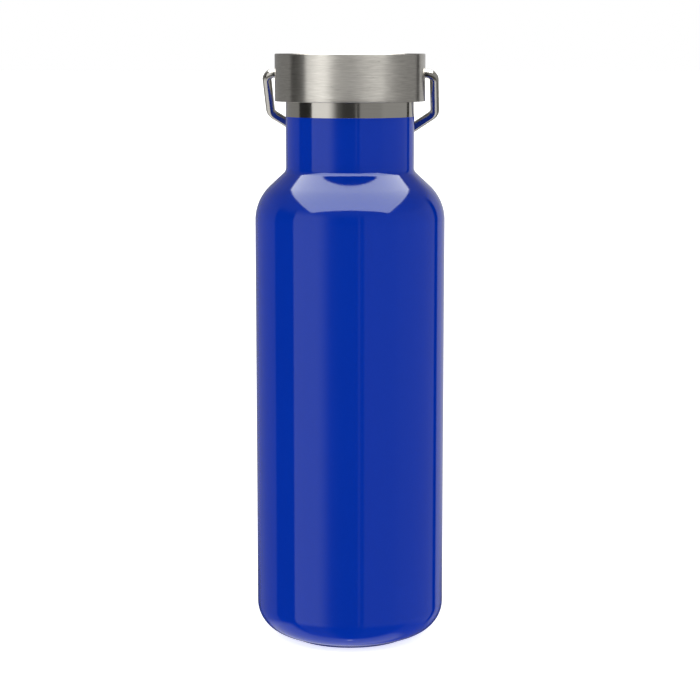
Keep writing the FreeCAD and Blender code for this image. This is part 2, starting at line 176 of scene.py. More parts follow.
def inset(points, depth):
    """The same line, moved to its left by depth, as the other face of a sheet is.

    At a corner the point moves along the mean of the two runs' normals, and further by the mitre.
    """
    run = directions(points)
    before = np.vstack([run[:1], run])
    after = np.vstack([run, run[-1:]])
    normal = np.column_stack([-(before + after)[:, 1], (before + after)[:, 0]])
    normal /= np.linalg.norm(normal, axis=1)[:, None]
    mitre = -before[:, 1]*normal[:, 0] + before[:, 0]*normal[:, 1]
    return points + normal*(depth/mitre)[:, None]


def bends_only(points):
    """The same line without the points inside its straight stretches, where the run doesn't turn."""
    run = directions(points)
    turns = np.abs(run[:-1, 0]*run[1:, 1] - run[:-1, 1]*run[1:, 0]) > STRAIGHT
    return points[np.concatenate([[True], turns, [True]])]


# %% [markdown]
# A grid's poles and seams hold points that fall on each other. They are merged, so every piece is one
# closed skin, and then its faces can be turned outward. Shading is smooth except across real edges.

# %% Make a mesh object
MERGED = 1e-8
TOO_SHORT = 1e-9
SHARP_EDGE = math.radians(30)


def finished(name, vertices, faces, attribute=None):
    """A mesh object at the origin: doubles merged, no bare edges, faces outward, real edges sharp."""
    mesh = bpy.data.meshes.new(name)
    mesh.from_pydata(vertices.tolist(), [], faces.tolist())
    if attribute is not None:
        layer = mesh.attributes.new(attribute[0], "FLOAT_VECTOR", "POINT")
        layer.data.foreach_set("vector", attribute[1].ravel())
    work = bmesh.new()
    work.from_mesh(mesh)
    bmesh.ops.remove_doubles(work, verts=work.verts, dist=MERGED)
    bmesh.ops.dissolve_degenerate(work, edges=work.edges, dist=TOO_SHORT)
    bare = [edge for edge in work.edges if edge.is_wire]
    bmesh.ops.delete(work, geom=bare, context="EDGES")
    bmesh.ops.recalc_face_normals(work, faces=work.faces)
    work.to_mesh(mesh)
    work.free()
    mesh.shade_smooth()
    mesh.set_sharp_from_angle(angle=SHARP_EDGE)
    piece = bpy.data.objects.new(name, mesh)
    bpy.context.scene.collection.objects.link(piece)
    return piece


def grid_faces(rows, columns, close_rows=False):
    """Four corners of every cell of a grid whose points are numbered row by row.

    The columns always close on themselves. The rows do when the profile is a closed line.
    """
    i = np.arange(rows if close_rows else rows - 1)[:, None]
    j = np.arange(columns)[None, :]
    below = (i + 1) % rows
    beside = (j + 1) % columns
    corners = [i*columns + j, i*columns + beside, below*columns + beside, below*columns + j]
    corners = [np.broadcast_to(corner, (i.size, j.size)) for corner in corners]
    return np.stack(corners, axis=-1).reshape(-1, 4)


# %% Carry the profile round the axis
AROUND = 288
ROWS_IN_LEAD = 12


def lathe(name, profile, swell=None, climbing=None):
    """Turn a closed profile about the axis: x = r cos a, y = r sin a, z = height.

    swell(a, r, z) gives the extra radius of whatever isn't round, such as a thread. climbing names the
    rows that rise by one lead in a turn, first and last + 1, so their edges lie along the thread. They
    are held between the rows on either side of them, and after a turn each meets the row one lead up.
    """
    a = np.arange(AROUND)*2*np.pi/AROUND
    angle, r = np.meshgrid(a, profile[:, 0])
    z = np.repeat(profile[:, 1:], AROUND, axis=1)
    faces = grid_faces(len(profile), AROUND, close_rows=True)
    if climbing is not None:
        first, last = climbing
        low, high = sorted([profile[first - 1, 1], profile[last, 1]])
        z[first:last] = np.clip(z[first:last] + LEAD*angle[first:last]/(2*np.pi), low, high)
        rows_up = ROWS_IN_LEAD if profile[first - 1, 1] == low else -ROWS_IN_LEAD
        partner = np.arange(len(profile))
        partner[first:last] = np.clip(partner[first:last] + rows_up, first - 1, last)
        closing = faces.reshape(-1, AROUND, 4)[:, -1]
        closing[:, 1:3] = partner[closing[:, 1:3]//AROUND]*AROUND
    if swell is not None:
        r = r + swell(angle, r, z)
    vertices = np.stack([r*np.cos(angle), r*np.sin(angle), z], axis=-1).reshape(-1, 3)
    piece = finished(name, vertices, faces)
    print(f"{name}: {len(piece.data.polygons)} faces, z {z.min()/MM:.2f} to {z.max()/MM:.2f} mm")
    return piece


# %% [markdown]
# ## The shoulder
# The sheet bends inward from the side, runs straight as a short cone, and bends back into the neck. Both
# walls of the flask have the same shoulder, one inside the other, so one function draws them. Where the
# cone starts and ends follows from the bends being tangent to it.

# %% Draw a shoulder
def shoulder(wall, bend_radius, neck, fillet):
    """From the side up to the neck: arc, cone and hollow arc, each tangent to the next."""
    turn = SHOULDER_TURN
    low = (wall - bend_radius*(1 - math.cos(turn)), SHOULDER_FOOT + bend_radius*math.sin(turn))
    high_radius = neck + fillet*(1 - math.cos(turn))
    high = (high_radius, low[1] + (low[0] - high_radius)/math.tan(turn))
    hollow = (neck + fillet, high[1] + fillet*math.sin(turn))
    return joined(bend((wall - bend_radius, SHOULDER_FOOT), bend_radius, 0, turn, 32),
                  stretch(low, high, 6),
                  bend(hollow, fillet, math.pi + turn, math.pi, 16))


outer_shoulder = shoulder(BODY_RADIUS, SHOULDER_BEND, NECK_RADIUS, SHOULDER_FILLET)
NECK_FOOT = outer_shoulder[-1][1]
print(f"the neck starts at {NECK_FOOT/MM:.2f} mm")

# %% [markdown]
# ## The thread
# A screw thread is a ridge along a helix: its middle climbs by one lead in a turn. Seen at one angle, a
# point stands on the ridge if its height is close to the ridge's height there. So the thread needs no
# sweep: the turned wall is swelled where a point is near the helix, and the ends fade out as rolled
# threads do. Rows of points that climb with the helix keep the ridge's edges clean. The neck has the
# ridge outside, and the lid has one inside, half a turn away.

# %% The thread as a swelling of the wall
def smooth(t):
    """0 below 0, 1 above 1, and 3t^2 - 2t^3 between them."""
    t = np.clip(t, 0, 1)
    return t*t*(3 - 2*t)


def thread(start_angle):
    """A function of angle and height: 1 on the ridge's crest, 0 off it, sloping on its flanks."""
    def ridge(angle, z):
        height = np.zeros_like(z)
        for lap in range(math.ceil(THREAD_TURNS) + 1):
            run = ((angle - start_angle)/(2*np.pi)) % 1 + lap
            away = np.abs(z - THREAD_START - LEAD*run)
            flank = np.clip((THREAD_ROOT/2 - away)/((THREAD_ROOT - THREAD_CREST)/2), 0, 1)
            ends = smooth(run/THREAD_FADE)*smooth((THREAD_TURNS - run)/THREAD_FADE)
            height = np.maximum(height, flank*ends)
        return height

    return ridge


# %% Rows that climb with the thread
def climb(profile, start_angle):
    """Put climbing rows into a profile's last stretch, an upright one, and name those rows.

    A lap has a row at the ridge's root, flanks and crest, and the rest between it and the next lap.
    """
    low, high = sorted(profile[-2:, 1])
    ridge = [-THREAD_ROOT/2, -THREAD_CREST/2, 0, THREAD_CREST/2]
    clear = np.linspace(THREAD_ROOT/2, LEAD - THREAD_ROOT/2, ROWS_IN_LEAD - len(ridge) + 1)[:-1]
    lap = THREAD_START - LEAD*start_angle/(2*np.pi) + np.concatenate([ridge, clear])
    heights = (lap + LEAD*np.arange(-2, 4)[:, None]).ravel()
    heights = heights[(heights > low - LEAD) & (heights < high + LEAD)]
    if profile[-1, 1] < profile[-2, 1]:
        heights = heights[::-1]
    rows = np.column_stack([np.full(len(heights), profile[-1, 0]), heights])
    first = len(profile) - 1
    print(f"{len(rows)} climbing rows between {low/MM:.1f} and {high/MM:.1f} mm")
    return np.vstack([profile[:-1], rows, profile[-1:]]), (first, first + len(rows))


# %% [markdown]
# ## The painted flask
# The outer wall is drawn steel, welded to a pressed bottom, then sprayed and baked. Under the paint the
# weld can't be seen, so one closed surface stands for both sheets. The profile runs from the vent in the
# bottom, over the foot ring, up the side, shoulder and neck, and over the lip; its other face is the same
# line moved in by the sheet's thickness. Paint is a real layer, so the bare neck is a paint's thickness
# slimmer, and that small step catches the light at the paint's edge.

# %% Profile of the foot
def foot_profile():
    """From the vent over the dimple, the recess and the rounded foot ring, up the base bend."""
    centre = BODY_RADIUS - BASE_BEND
    seam = centre + BASE_BEND*math.cos(BASE_TURN)
    seam_up = (seam - FOOT_RADIUS)/math.tan(BASE_TURN)
    slope = np.pi/2 - BASE_TURN
    inside = FOOT_RADIUS - FOOT_WIDTH
    tangent = FOOT_ROUND*math.tan(slope/2)
    return joined(
        stretch((VENT_RADIUS, DIMPLE_TOP), (DIMPLE_RADIUS, DIMPLE_TOP)),
        stretch((DIMPLE_RADIUS, DIMPLE_TOP), (DIMPLE_RADIUS, RECESS), 2),
        stretch((DIMPLE_RADIUS, RECESS), (inside - FOOT_ROUND, RECESS), 4),
        bend((inside - FOOT_ROUND, RECESS - FOOT_ROUND), FOOT_ROUND, np.pi/2, 0, 6),
        bend((inside + FOOT_ROUND, FOOT_ROUND), FOOT_ROUND, np.pi, 1.5*np.pi, 8),
        bend((FOOT_RADIUS - tangent, FOOT_ROUND), FOOT_ROUND, 1.5*np.pi, 1.5*np.pi + slope, 6),
        stretch((FOOT_RADIUS + tangent, tangent*math.tan(slope)*2), (seam, seam_up), 4),
        bend((centre, seam_up + BASE_BEND*math.sin(BASE_TURN)), BASE_BEND, -BASE_TURN, 0, 32))


foot = foot_profile()
print(f"the foot's profile ends {foot[-1][1]/MM:.2f} mm up the side")

# %% Profile of the outer wall
wall = joined(
    foot,
    stretch((BODY_RADIUS, SIDE_FOOT), (BODY_RADIUS, SHOULDER_FOOT), 24),
    outer_shoulder,
    stretch(outer_shoulder[-1], (NECK_RADIUS, PAINT_TOP - PAINT), 8),
    bend((NECK_RADIUS - PAINT, PAINT_TOP - PAINT), PAINT, 0, np.pi/2, 4),
    stretch((BAND_RADIUS, PAINT_TOP + PAINT/4), (BAND_RADIUS, LID_BOTTOM), 4),
    stretch((BAND_RADIUS, LID_BOTTOM), (BAND_RADIUS, LIP - LIP_ROUND)))
lip = joined(bend((BAND_RADIUS - LIP_ROUND, LIP - LIP_ROUND), LIP_ROUND, 0, np.pi/2, 6),
             stretch((BAND_RADIUS - LIP_ROUND, LIP), (NECK_RADIUS - STEEL, LIP)))
inner_face = bends_only(inset(wall, STEEL - PAINT))[::-1]
print(f"{len(wall)} points up the outer wall, {len(inner_face)} down its other face")

# %% Turn the outer wall and roll its thread
neck_ridge = thread(0)


def neck_swell(angle, r, z):
    """The ridge's height on the neck's outer face only, not on the face turned to the vacuum."""
    outside = (r > BAND_RADIUS - PAINT/2) & (z > LID_BOTTOM)
    return np.where(outside, neck_ridge(angle, z)*(THREAD_HEIGHT + PAINT), 0)


outer_face, neck_rows = climb(wall, 0)
flask = lathe("painted_flask", np.vstack([outer_face, lip[1:], inner_face]), neck_swell, neck_rows)
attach(flask, "flask")
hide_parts("outer_shell", "outer_bottom")

# %% [markdown]
# ## The inner flask
# Inside is a second, slightly smaller flask, which holds the drink. It is drawn from sheet and welded like
# the outer one, so its profile is made the same way. The two are joined only at the lip, by a flange, and
# the space between them is empty.

# %% Profile of the inner wall
LINER_BEND = LINER_BEND_TOP - LINER_BASE
FLANGE_LOW = LIP - 0.8*MM
WALL_GAP = BODY_RADIUS - LINER_RADIUS
vacuum_face = joined(
    stretch((0, LINER_BASE), (LINER_RADIUS - LINER_BEND, LINER_BASE), 3),
    bend((LINER_RADIUS - LINER_BEND, LINER_BASE + LINER_BEND), LINER_BEND, -np.pi/2, 0),
    stretch((LINER_RADIUS, LINER_BASE + LINER_BEND), (LINER_RADIUS, SHOULDER_FOOT), 12),
    shoulder(LINER_RADIUS, SHOULDER_BEND - WALL_GAP, MOUTH + STEEL,
             SHOULDER_FILLET + STEEL + NECK_GAP),
    stretch((MOUTH + STEEL, NECK_FOOT), (MOUTH + STEEL, FLANGE_LOW), 6))
flange = joined(
    stretch((MOUTH + STEEL, FLANGE_LOW), (NECK_RADIUS - STEEL, FLANGE_LOW)),
    stretch((NECK_RADIUS - STEEL, FLANGE_LOW), (NECK_RADIUS - STEEL, LIP)),
    stretch((NECK_RADIUS - STEEL, LIP), (MOUTH + LIP_ROUND, LIP)),
    bend((MOUTH + LIP_ROUND, LIP - LIP_ROUND), LIP_ROUND, np.pi/2, np.pi, 6))
drink_face = inset(vacuum_face, STEEL)[::-1]
liner = lathe("inner_flask", joined(vacuum_face, flange, drink_face))
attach(liner, "flask")
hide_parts("liner_wall", "liner_bottom")

# %% [markdown]
# ## The base disc
# The disc under the bottle is a flat plate, blanked from sheet and set into the recess to hide the sealed
# vent. Its edge is rounded a little, as a blanked and tumbled edge is.

# %% The base disc
DISC_ROUND = 0.12*MM
disc_rim = reach("base_cover") - DISC_ROUND
base_disc = lathe("base_disc", joined(
    stretch((0, DISC_LOW), (disc_rim, DISC_LOW), 8),
    bend((disc_rim, DISC_LOW + DISC_ROUND), DISC_ROUND, -np.pi/2, 0, 4),
    bend((disc_rim, DISC_HIGH - DISC_ROUND), DISC_ROUND, 0, np.pi/2, 4),
    stretch((disc_rim, DISC_HIGH), (0, DISC_HIGH), 8)))
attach(base_disc, "flask")
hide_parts("base_cover")

# %% [markdown]
# ## The lid
# The lid is a deep-drawn steel cup over a moulded screw body. The cup's top edge has a small bend and its
# rim is trimmed. Each side has a hole for the wire, cut here with a boolean, because a hole is the one
# thing on it that isn't round about the bottle's axis.

# %% A cutter for the pivot holes
WIRE_RADIUS = 1.75*MM
PIVOT_PLAY = 0.08*MM
HOLE_SIDES = 48
CUTTER_END = LID_RADIUS + 2*MM


def hole_cutter(start, side):
    """A closed cylinder along X: circles about the pivots' axis, drawn in to a point at each end."""
    a = np.arange(HOLE_SIDES)*2*np.pi/HOLE_SIDES
    r = (WIRE_RADIUS + PIVOT_PLAY)*np.array([0, 1, 1, 0])[:, None]
    x = side*np.array([start, start, CUTTER_END, CUTTER_END])[:, None]
    circles = np.broadcast_arrays(x, r*np.cos(a), PIVOT + r*np.sin(a))
    vertices = np.stack(circles, axis=-1).reshape(-1, 3)
    return finished("cutter", vertices, grid_faces(len(r), HOLE_SIDES))


def drill(piece, start):
    """Cut a round hole along X through both sides of a piece, from start outwards."""
    for side in (-1, 1):
        cut = piece.modifiers.new("hole", "BOOLEAN")
        cut.operation = "DIFFERENCE"
        cut.solver = "EXACT"
        cut.object = hole_cutter(start, side)
    bpy.context.view_layer.update()
    cut_piece = piece.evaluated_get(bpy.context.evaluated_depsgraph_get())
    mesh = bpy.data.meshes.new_from_object(cut_piece)
    cutters = [cut.object for cut in piece.modifiers]
    piece.modifiers.clear()
    piece.data = mesh
    mesh.set_sharp_from_angle(angle=SHARP_EDGE)
    for cutter in cutters:
        bpy.data.objects.remove(cutter)
    print(f"{piece.name}: {len(mesh.polygons)} faces with its pivot holes")


# %% The steel cup
LID_ROUND = 0.5*MM
LID_RIM = 0.15*MM
CUP_INSIDE = LID_RADIUS - STEEL
cup = lathe("lid_cup", joined(
    stretch((0, LID_TOP), (LID_RADIUS - LID_ROUND, LID_TOP), 12),
    bend((LID_RADIUS - LID_ROUND, LID_TOP - LID_ROUND), LID_ROUND, np.pi/2, 0, 10),
    stretch((LID_RADIUS, LID_TOP - LID_ROUND), (LID_RADIUS, LID_BOTTOM + LID_RIM), 12),
    bend((LID_RADIUS - LID_RIM, LID_BOTTOM + LID_RIM), LID_RIM, 0, -np.pi/2, 5),
    bend((CUP_INSIDE + LID_RIM, LID_BOTTOM + LID_RIM), LID_RIM, -np.pi/2, -np.pi, 5),
    stretch((CUP_INSIDE, LID_BOTTOM + LID_RIM), (CUP_INSIDE, LID_TOP - LID_ROUND), 12),
    bend((LID_RADIUS - LID_ROUND, LID_TOP - LID_ROUND), LID_ROUND - STEEL, 0, np.pi/2, 6),
    stretch((LID_RADIUS - LID_ROUND, LID_TOP - STEEL), (0, LID_TOP - STEEL), 12)))
drill(cup, LID_RADIUS - 3*STEEL)
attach(cup, "lid")
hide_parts("lid_shell")

# %% [markdown]
# The screw body is one moulding: a skirt with the thread inside it, a roof with a groove for the seal, and
# the plug's wall hanging into the mouth. Only its lower edge shows while the lid is on.

# %% Sizes of the screw body
FIT_PLAY = 0.05*MM
BODY_LOW, BODY_HIGH = span("lid_liner")
SKIRT = reach("lid_liner")
SKIRT_LOW = LID_BOTTOM + 0.5*MM
SKIRT_BEVEL = 0.6*MM
CHAMBER = NECK_RADIUS + THREAD_HEIGHT + THREAD_PLAY
CHAMBER_TOP = LIP - THREAD_PLAY
GROOVE = NECK_RADIUS + THREAD_PLAY
RING_LOW, RING_HIGH = span("lid_gasket")
GROOVE_TOP = RING_HIGH + FIT_PLAY
SPIGOT = reach("lid_insulation")
PLUG_INSIDE = SPIGOT + FIT_PLAY
BORE_WALL = 0.5*MM
BORE_END = GROOVE + BORE_WALL
print(f"the skirt's wall is {(SKIRT - CHAMBER)/MM:.2f} mm, the bores end at {BORE_END/MM:.2f} mm")

# %% The moulded screw body
SAME_WALL = 0.01*MM
lid_ridge = thread(math.pi)


def screw_swell(angle, r, z):
    """The inner ridge: it stands in from the chamber's wall, so it takes radius away."""
    chamber = (np.abs(r - CHAMBER) < SAME_WALL) & (z > SKIRT_LOW) & (z < CHAMBER_TOP)
    return np.where(chamber, -lid_ridge(angle, z)*THREAD_HEIGHT, 0)


moulding, chamber_rows = climb(joined(
    stretch((SKIRT, SKIRT_LOW), (SKIRT, BODY_HIGH - SKIRT_BEVEL), 6),
    stretch((SKIRT, BODY_HIGH - SKIRT_BEVEL), (SKIRT - SKIRT_BEVEL, BODY_HIGH)),
    stretch((SKIRT - SKIRT_BEVEL, BODY_HIGH), (PLUG_INSIDE, BODY_HIGH), 2),
    stretch((PLUG_INSIDE, BODY_HIGH), (PLUG_INSIDE, BODY_LOW), 4),
    stretch((PLUG_INSIDE, BODY_LOW), (PLUG_RADIUS, BODY_LOW)),
    stretch((PLUG_RADIUS, BODY_LOW), (PLUG_RADIUS, GROOVE_TOP), 4),
    stretch((PLUG_RADIUS, GROOVE_TOP), (GROOVE, GROOVE_TOP)),
    stretch((GROOVE, GROOVE_TOP), (GROOVE, CHAMBER_TOP)),
    stretch((GROOVE, CHAMBER_TOP), (CHAMBER, CHAMBER_TOP)),
    stretch((CHAMBER, CHAMBER_TOP), (CHAMBER, SKIRT_LOW))), math.pi)
screw_body = lathe("lid_screw_body", moulding, screw_swell, chamber_rows)
drill(screw_body, BORE_END)
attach(screw_body, "lid")
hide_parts("lid_liner")

# %% [markdown]
# The plug is closed from below by a moulded cover, welded on after the foam is in. The seal is a moulded
# ring with full, round edges, squeezed between the groove and the lip. Both are round, so both are turned.

# %% The plug's cover
COVER_ROUND = 0.4*MM
COVER_LOW, COVER_HIGH = span("plug_cover")
COVER_EDGE = BODY_LOW - 0.2*MM
plug_cover = lathe("plug_end", joined(
    stretch((0, COVER_LOW), (PLUG_RADIUS - COVER_ROUND, COVER_LOW), 8),
    bend((PLUG_RADIUS - COVER_ROUND, COVER_LOW + COVER_ROUND), COVER_ROUND, -np.pi/2, 0, 6),
    stretch((PLUG_RADIUS, COVER_EDGE), (PLUG_RADIUS, BODY_LOW)),
    stretch((PLUG_RADIUS, BODY_LOW), (SPIGOT, BODY_LOW)),
    stretch((SPIGOT, BODY_LOW), (SPIGOT, COVER_HIGH)),
    stretch((SPIGOT, COVER_HIGH), (0, COVER_HIGH), 6)))
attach(plug_cover, "lid")
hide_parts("plug_cover")

# %% The sealing ring
RING_ROUND = 0.35*MM
ring_inside = PLUG_RADIUS + FIT_PLAY + RING_ROUND
ring_outside = reach("lid_gasket") - RING_ROUND
seal_ring = lathe("seal_ring", joined(
    bend((ring_outside, RING_LOW + RING_ROUND), RING_ROUND, -np.pi/2, 0, 6),
    bend((ring_outside, RING_HIGH - RING_ROUND), RING_ROUND, 0, np.pi/2, 6),
    bend((ring_inside, RING_HIGH - RING_ROUND), RING_ROUND, np.pi/2, np.pi, 6),
    bend((ring_inside, RING_LOW + RING_ROUND), RING_ROUND, -np.pi, -np.pi/2, 6)))
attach(seal_ring, "seal")
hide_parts("lid_gasket")

# %% [markdown]
# ## The wire handle
# The handle is one length of polished wire, bent in a jig: out of a pivot, down an arm, inward along a
# slope, straight across, and the same back. A wire is a circle carried along a line. The line lies in one
# plane, so two fixed directions are enough to hold the circle square to it: the plane's own normal, and
# the one across the line within the plane. At rest the loop leans back until the crossbar nearly meets
# the neck.

# %% The wire's line in its own plane
ARM_LENGTH = 21.8*MM
SPLAY = math.radians(43)
HANDLE_BEND = 5*MM
PIVOT_BEND = 3.35*MM
ARM = LID_RADIUS + PIVOT_BEND
PIN_PLAY = 0.3*MM
WIRE_END = BORE_END + PIN_PLAY
ROOM_PAST_LID = 5.6*MM
REACH = math.hypot(LID_RADIUS, PIVOT - LID_BOTTOM) + WIRE_RADIUS + ROOM_PAST_LID


def half_wire():
    """From the right pivot's end to the crossbar's middle, as (across, out along the loop).

    A bend's tangent is its radius times the tangent of half its turn.
    """
    corner = ARM - (REACH - ARM_LENGTH)/math.tan(SPLAY)
    low = HANDLE_BEND*math.tan((np.pi/2 - SPLAY)/2)
    bar = HANDLE_BEND*math.tan(SPLAY/2)
    low_centre = (ARM - HANDLE_BEND, ARM_LENGTH - low)
    bar_centre = (corner - bar, REACH - HANDLE_BEND)
    return joined(stretch((WIRE_END, 0), (LID_RADIUS, 0), 6),
                  bend((LID_RADIUS, PIVOT_BEND), PIVOT_BEND, -np.pi/2, 0, 20),
                  stretch((ARM, PIVOT_BEND), (ARM, ARM_LENGTH - low), 8),
                  bend(low_centre, HANDLE_BEND, 0, np.pi/2 - SPLAY, 16),
                  bend(bar_centre, HANDLE_BEND, np.pi/2 - SPLAY, np.pi/2, 16),
                  stretch((corner - bar, REACH), (0, REACH), 8))


right_half = half_wire()
wire_line = joined(right_half, (right_half*[-1, 1])[::-1])
NECK_PLAY = 0.3*MM
LEAN = math.asin((NECK_RADIUS + WIRE_RADIUS + NECK_PLAY)/REACH)
print(f"{travelled(wire_line)[-1]/MM:.1f} mm of wire, leaning back {math.degrees(LEAN):.1f} degrees")

# %% Carry a circle along the line
WIRE_SIDES = 40
TIP = 0.4*MM
TIP_STEPS = 4


def wire(name, line):
    """Point = line + shrink*r*(cos t * across + sin t * plane normal), with closed, rounded ends.

    The plane of the loop is spanned by X and by the direction that leans back from straight down.
    """
    run = np.gradient(line, axis=0)
    run /= np.linalg.norm(run, axis=1)[:, None]
    along = travelled(line)
    t = np.linspace(0, np.pi/2, TIP_STEPS + 1)[:-1]
    drawn_in = TIP*(1 - np.cos(t))
    start = line[0] + np.outer(drawn_in, run[0])
    end = line[-1] - np.outer(drawn_in, run[-1])[::-1]
    middle = (along > TIP) & (along < along[-1] - TIP)
    points = np.vstack([line[:1], start, line[middle], end, line[-1:]])
    run = np.vstack([run[:1]]*(TIP_STEPS + 1) + [run[middle]] + [run[-1:]]*(TIP_STEPS + 1))
    rim = (WIRE_RADIUS - TIP + TIP*np.sin(t))/WIRE_RADIUS
    shrink = np.concatenate([[0], rim, np.ones(middle.sum()), rim[::-1], [0]])
    down = np.array([0, math.sin(LEAN), -math.cos(LEAN)])
    sideways = np.array([1.0, 0, 0])
    normal = np.cross(sideways, down)
    place = points[:, :1]*sideways + points[:, 1:]*down + [0, 0, PIVOT]
    across = -run[:, 1:]*sideways + run[:, :1]*down
    a = np.arange(WIRE_SIDES)*2*np.pi/WIRE_SIDES
    circle = np.cos(a)[:, None, None]*across + np.sin(a)[:, None, None]*normal
    vertices = place + circle*(WIRE_RADIUS*shrink)[:, None]
    vertices = vertices.transpose(1, 0, 2).reshape(-1, 3)
    turned = [np.cos(a)[None, :], np.sin(a)[None, :], travelled(points)[:, None]/WIRE_RADIUS]
    round_and_along = np.stack(np.broadcast_arrays(*turned), axis=-1).reshape(-1, 3)
    return finished(name, vertices, grid_faces(len(points), WIRE_SIDES),
                    attribute=("round_and_along", round_and_along))


handle = wire("carry_handle", wire_line)
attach(handle, "handle")
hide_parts("handle")
print(f"handle: {len(handle.data.polygons)} faces")

# %% [markdown]
# ## Shader arithmetic
# A finish is a formula for each point of a surface. Blender writes it as nodes, which are long to build by
# hand, so a small class wraps a socket and turns +, -, * and / into Math nodes. A formula then reads like
# a formula. One method makes every other node.

# %% Sockets that can be added and multiplied
class Value:
    """One number of a shader: an output socket with Python's operators."""

    def __init__(self, graph, socket):
        self.graph = graph
        self.socket = socket

    def math(self, operation, *others):
        """A Math node on this value and the others."""
        return self.graph.math(operation, self, *others)

    def __add__(self, other):
        return self.math("ADD", other)

    def __sub__(self, other):
        return self.math("SUBTRACT", other)

    def __rsub__(self, other):
        return self.graph.math("SUBTRACT", other, self)

    def __mul__(self, other):
        return self.math("MULTIPLY", other)

    def __truediv__(self, other):
        return self.math("DIVIDE", other)

    def __rtruediv__(self, other):
        return self.graph.math("DIVIDE", other, self)

    __radd__ = __add__
    __rmul__ = __mul__


# %% A node tree and the one method that adds to it
class Graph:
    """A node tree, with short names for the nodes that formulas use."""

    def __init__(self, tree):
        self.tree = tree

    def node(self, kind, settings=None, inputs=None, output=0):
        """Add a node: its settings first, then values or links for its sockets, by name or number."""
        made = self.tree.nodes.new(kind)
        for name, value in (settings or {}).items():
            setattr(made, name, value)
        for name, value in (inputs or {}).items():
            if isinstance(value, Value):
                self.tree.links.new(value.socket, made.inputs[name])
            else:
                made.inputs[name].default_value = value
        return Value(self, made.outputs[output]) if len(made.outputs) else None

    def math(self, operation, *values):
        """A Math node on values or numbers, in their order."""
        return self.node("ShaderNodeMath", {"operation": operation}, dict(enumerate(values)))

    def parts(self, vector):
        """The x, y and z of a vector."""
        split = self.node("ShaderNodeSeparateXYZ", None, {0: vector})
        return [Value(self, split.socket.node.outputs[i]) for i in range(3)]

    def vector(self, x, y, z):
        """A vector from its three parts."""
        return self.node("ShaderNodeCombineXYZ", None, {0: x, 1: y, 2: z})

    def noise(self, vector, scale, detail=2.0, roughness=0.5):
        """Soft noise from 0 to 1 about 0.5, with its lumps 1/scale across."""
        return self.node("ShaderNodeTexNoise", None, {
            "Vector": vector, "Scale": scale, "Detail": detail, "Roughness": roughness})

    def ramp(self, value, low, high, kind="SMOOTHSTEP"):
        """0 at low, 1 at high."""
        return self.node("ShaderNodeMapRange", {"interpolation_type": kind},
                         {"Value": value, "From Min": low, "From Max": high})

    def fall(self, value, low, high):
        """1 at low, 0 at high."""
        return 1.0 - self.ramp(value, low, high)

    def blend(self, share, first, second):
        """A colour between two, by share."""
        return self.node("ShaderNodeMix", {"data_type": "RGBA"}, {0: share, 6: first, 7: second}, 2)


# %% A finish is a Principled shader and its formulas
class Finish(Graph):
    """A material whose unvarying numbers sit on the shader's own sockets."""

    def __init__(self, name, **constants):
        self.material = bpy.data.materials.new(name)
        self.material.use_nodes = True
        super().__init__(self.material.node_tree)
        self.shader = self.tree.nodes["Principled BSDF"]
        for socket, value in constants.items():
            self.shader.inputs[socket.replace("_", " ")].default_value = value
        self.place = self.node("ShaderNodeTexCoord", None, None, "Object")
        self.x, self.y, self.z = self.parts(self.place)

    def feed(self, socket, value):
        """Let a formula drive one of the shader's sockets."""
        self.tree.links.new(value.socket, self.shader.inputs[socket])

    def relief(self, height, depth):
        """A height from 0 to 1, as relief of that depth in metres."""
        bump = self.node("ShaderNodeBump", None, {
            "Strength": 1.0, "Distance": depth, "Height": height}, "Normal")
        self.feed("Normal", bump)

    def round_lines(self, lines_per_mm, length_mm):
        """Fine lines that run round the bottle's axis, on upright and on flat faces alike.

        Height plus distance from the axis changes across the lines on both, so noise is drawn out by
        sampling it finely along that sum and coarsely round the axis.
        """
        radius = (self.x*self.x + self.y*self.y).math("SQRT")
        across = (self.z + radius)*(lines_per_mm/MM)
        coarse = 1/(length_mm*MM)
        return self.noise(self.vector(self.x*coarse, self.y*coarse, across), 1.0, 3.0, 0.6)


# %% Colours
def colour(red, green, blue):
    """A linear colour from the usual 0 to 255 values: ((c + 0.055)/1.055)^2.4, and c/12.92 when dark."""
    c = np.array([red, green, blue])/255
    linear = np.where(c > 0.04045, ((c + 0.055)/1.055)**2.4, c/12.92)
    return (*linear.tolist(), 1.0)


# %% [markdown]
# ## Gloss paint
# Baked enamel is a strong colour under its own smooth skin. It isn't perfectly flat: sprayed paint dries
# with a faint orange peel, a millimetre or two across and far less than a hair deep, which softens the
# edges of reflections. The foot ring is rubbed duller by every table it has stood on.

# %% Royal blue enamel
def make_enamel():
    """Two blues and brighter flecks by noise, peel and dust as relief, and a rubbed foot by height."""
    paint = Finish("royal_blue_enamel", IOR=1.5, Specular_IOR_Level=0.36,
                   Specular_Tint=(0.9, 0.98, 1.0, 1.0))
    drift = paint.noise(paint.place, 1/(40*MM))
    flecks = paint.noise(paint.place, 1/(0.35*MM), roughness=0.7)
    tone = paint.blend(drift, colour(0, 41, 149), colour(0, 44, 154))
    tone = paint.blend(paint.ramp(flecks, 0.55, 0.8), tone, colour(2, 48, 166))
    rub = paint.fall(paint.z, 0.1*MM, 0.7*MM)
    scuff = rub*paint.ramp(paint.noise(paint.place, 1/(0.8*MM), 4.0), 0.4, 0.6)
    paint.feed("Base Color", paint.blend(scuff*0.35, tone, colour(60, 84, 160)))
    paint.feed("Roughness", 0.045 + flecks*0.04 + scuff*0.35)
    peel = paint.noise(paint.place, 1/(1.6*MM), 1.0)
    dust = paint.noise(paint.place, 1/(0.25*MM), 1.0)
    paint.relief(peel*0.8 + dust*0.08, 0.004*MM)
    return paint.material


enamel = make_enamel()
print("made", enamel.name)

